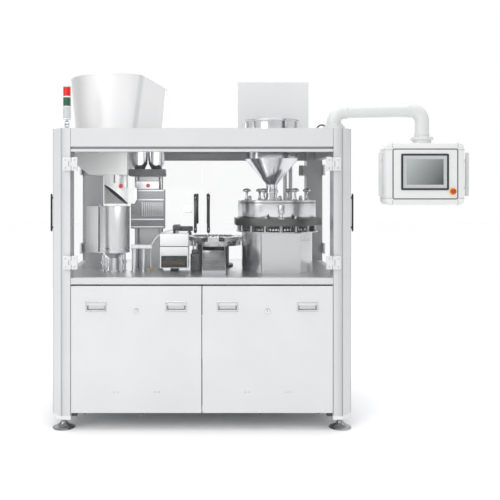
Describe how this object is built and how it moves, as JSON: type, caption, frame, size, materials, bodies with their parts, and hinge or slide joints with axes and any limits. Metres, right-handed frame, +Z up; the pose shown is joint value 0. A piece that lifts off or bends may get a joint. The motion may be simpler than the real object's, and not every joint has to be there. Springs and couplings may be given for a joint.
{
  "type": "automatic capsule filling machine",
  "caption": "Floor-standing automatic capsule filler: glazed working chamber over a drive cabinet, hoppers on the roof and an operator panel on a swing arm.",
  "frame": {"origin": "centre of the frame footprint on the floor, under the levelling feet", "axes": "+X to the operator's right, +Y to the back, +Z up"},
  "size_m": [2.7286, 1.4884, 2.356],
  "materials": {
    "painted_light": "smooth satin",
    "brushed": "brushed",
    "polished": "polished",
    "dark_cast": "machined, dark",
    "dark_ring": "anodised, satin",
    "drive_paint": "painted",
    "clear_glass": "clear, polished",
    "glass_door": "clear, polished",
    "hinge_plastic": "satin",
    "black_plastic": "satin",
    "magazine_metal": "anodised, brushed",
    "arm_paint": "powder coated",
    "screen": "gloss",
    "red_plastic": "gloss",
    "light_lens": "gloss lens"
  },
  "bodies": {
    "frame": {"corner_posts": "painted_light", "frame_rails": "painted_light", "floor_pan": "brushed", "roof_cover": "painted_light", "deck_plate": "brushed", "levelling_feet": "polished", "base_brackets": "dark_cast", "cabinet_panels": "painted_light", "hinge_leaves": "hinge_plastic", "capsule_hopper": "brushed", "hopper_belly": "brushed", "capsule_duct": "painted_light", "dust_tank": "brushed", "magazine_frame": "brushed", "magazine_cowl": "dark_cast", "powder_hopper": "brushed", "hopper_clamps": "dark_cast", "loader_box": "painted_light", "dosing_housing": "brushed", "dosing_cover": "brushed", "dosing_columns": "polished", "dosing_ring": "dark_ring", "powder_bowl": "brushed", "bowl_lid": "brushed", "level_sensor": "polished", "turret_column": "brushed", "discharge_chute": "brushed", "inspection_housing": "painted_light", "drive_unit": "drive_paint", "control_cabinet": "painted_light", "service_ports": "brushed", "arm_base": "arm_paint", "light_base": "polished"},
    "front_left_door": {"front_left_door": "clear_glass", "front_left_fittings": "black_plastic"},
    "front_right_door": {"front_right_door": "clear_glass", "front_right_fittings": "black_plastic"},
    "rear_left_door": {"rear_left_door": "glass_door"},
    "rear_right_door": {"rear_right_door": "glass_door"},
    "left_side_door": {"left_side_door": "glass_door"},
    "right_side_door": {"right_side_door": "glass_door"},
    "lower_panel_left": {"lower_panel_left": "painted_light"},
    "cam_lock_left": {"cam_lock_left": "polished"},
    "lower_panel_right": {"lower_panel_right": "painted_light"},
    "cam_lock_right": {"cam_lock_right": "polished"},
    "hmi_arm": {"hmi_arm": "arm_paint"},
    "hmi_case": {"hmi_case": "arm_paint", "hmi_handle": "arm_paint", "hmi_screen": "screen"},
    "estop_button": {"estop_button": "red_plastic"},
    "stack_light": {"stack_light": "light_lens"},
    "powder_lid": {"powder_lid": "brushed"},
    "main_shaft": {"main_shaft": "polished"},
    "drive_pulley": {"drive_pulley": "polished"},
    "turret": {"turret_disc": "polished", "segment_blocks": "polished"},
    "dosing_disc": {"dosing_disc": "polished"},
    "tamping_head": {"tamping_head": "polished"},
    "magazine": {"magazine_block": "magazine_metal"},
    "reject_drawer": {"reject_drawer": "black_plastic"}
  },
  "joints": [
    {"name": "front_left_door_hinge", "type": "hinge", "parent": "frame", "child": "front_left_door", "pos_m": [-0.849, -0.664, 1.395], "axis": [0, 0, -1], "range_deg": [0, 110]},
    {"name": "front_right_door_hinge", "type": "hinge", "parent": "frame", "child": "front_right_door", "pos_m": [0.849, -0.664, 1.395], "axis": [0, 0, 1], "range_deg": [0, 110]},
    {"name": "rear_left_door_hinge", "type": "hinge", "parent": "frame", "child": "rear_left_door", "pos_m": [-0.849, 0.664, 1.395], "axis": [0, 0, 1], "range_deg": [0, 110]},
    {"name": "rear_right_door_hinge", "type": "hinge", "parent": "frame", "child": "rear_right_door", "pos_m": [0.849, 0.664, 1.395], "axis": [0, 0, -1], "range_deg": [0, 110]},
    {"name": "left_side_door_hinge", "type": "hinge", "parent": "frame", "child": "left_side_door", "pos_m": [-0.989, 0.524, 1.395], "axis": [0, 0, -1], "range_deg": [0, 110]},
    {"name": "right_side_door_hinge", "type": "hinge", "parent": "frame", "child": "right_side_door", "pos_m": [0.989, 0.524, 1.395], "axis": [0, 0, 1], "range_deg": [0, 110]},
    {"name": "lower_panel_left_tilt", "type": "hinge", "parent": "frame", "child": "lower_panel_left", "pos_m": [-0.4245, -0.65, 0.115], "axis": [1, 0, 0], "range_deg": [0, 15]},
    {"name": "cam_lock_left_turn", "type": "hinge", "parent": "lower_panel_left", "child": "cam_lock_left", "pos_m": [-0.4245, -0.65, 0.774], "axis": [0, 1, 0], "range_deg": [0, 90]},
    {"name": "lower_panel_right_tilt", "type": "hinge", "parent": "frame", "child": "lower_panel_right", "pos_m": [0.4245, -0.65, 0.115], "axis": [1, 0, 0], "range_deg": [0, 15]},
    {"name": "cam_lock_right_turn", "type": "hinge", "parent": "lower_panel_right", "child": "cam_lock_right", "pos_m": [0.4245, -0.65, 0.774], "axis": [0, 1, 0], "range_deg": [0, 90]},
    {"name": "hmi_arm_swing", "type": "hinge", "parent": "frame", "child": "hmi_arm", "pos_m": [0.865, -0.58, 1.956], "axis": [0, 0, 1], "range_deg": [-80, 10]},
    {"name": "hmi_case_swivel", "type": "hinge", "parent": "hmi_arm", "child": "hmi_case", "pos_m": [1.41157, -0.67637, 1.853], "axis": [0, 0, 1], "range_deg": [-90, 90]},
    {"name": "estop_press", "type": "slide", "parent": "hmi_case", "child": "estop_button", "axis": [0, 1, 0], "range_m": [0, 0.004], "stiffness_N_per_m": 600, "springref_m": -0.003},
    {"name": "stack_light_fold", "type": "hinge", "parent": "frame", "child": "stack_light", "pos_m": [-0.884, -0.587, 1.994], "axis": [-1, 0, 0], "range_deg": [0, 90]},
    {"name": "powder_lid_hinge", "type": "hinge", "parent": "frame", "child": "powder_lid", "pos_m": [0.49, -0.025, 2.046], "axis": [-1, 0, 0], "range_deg": [0, 80]},
    {"name": "main_shaft_spin", "type": "hinge", "parent": "frame", "child": "main_shaft", "pos_m": [0, 0.08, 0.69], "axis": [1, 0, 0], "continuous": true},
    {"name": "drive_pulley_spin", "type": "hinge", "parent": "frame", "child": "drive_pulley", "pos_m": [0.7, 0.08, 0.33], "axis": [1, 0, 0], "continuous": true},
    {"name": "turret_spin", "type": "hinge", "parent": "frame", "child": "turret", "pos_m": [0.08, 0.08, 0.987], "axis": [0, 0, 1], "continuous": true},
    {"name": "dosing_disc_spin", "type": "hinge", "parent": "frame", "child": "dosing_disc", "pos_m": [0.535, -0.15, 0.987], "axis": [0, 0, 1], "continuous": true},
    {"name": "tamping_lift", "type": "slide", "parent": "frame", "child": "tamping_head", "axis": [0, 0, 1], "range_m": [0, 0.03]},
    {"name": "magazine_lift", "type": "slide", "parent": "frame", "child": "magazine", "axis": [0, 0, 1], "range_m": [0, 0.025]},
    {"name": "reject_drawer_slide", "type": "slide", "parent": "frame", "child": "reject_drawer", "axis": [0, -1, 0], "range_m": [0, 0.12]}
  ],
  "couplings": [
    {"joint": "drive_pulley_spin", "follows": "main_shaft_spin", "ratio": 1.8},
    {"joint": "turret_spin", "follows": "main_shaft_spin", "ratio": 0.083333},
    {"joint": "dosing_disc_spin", "follows": "main_shaft_spin", "ratio": -0.16667}
  ]
}
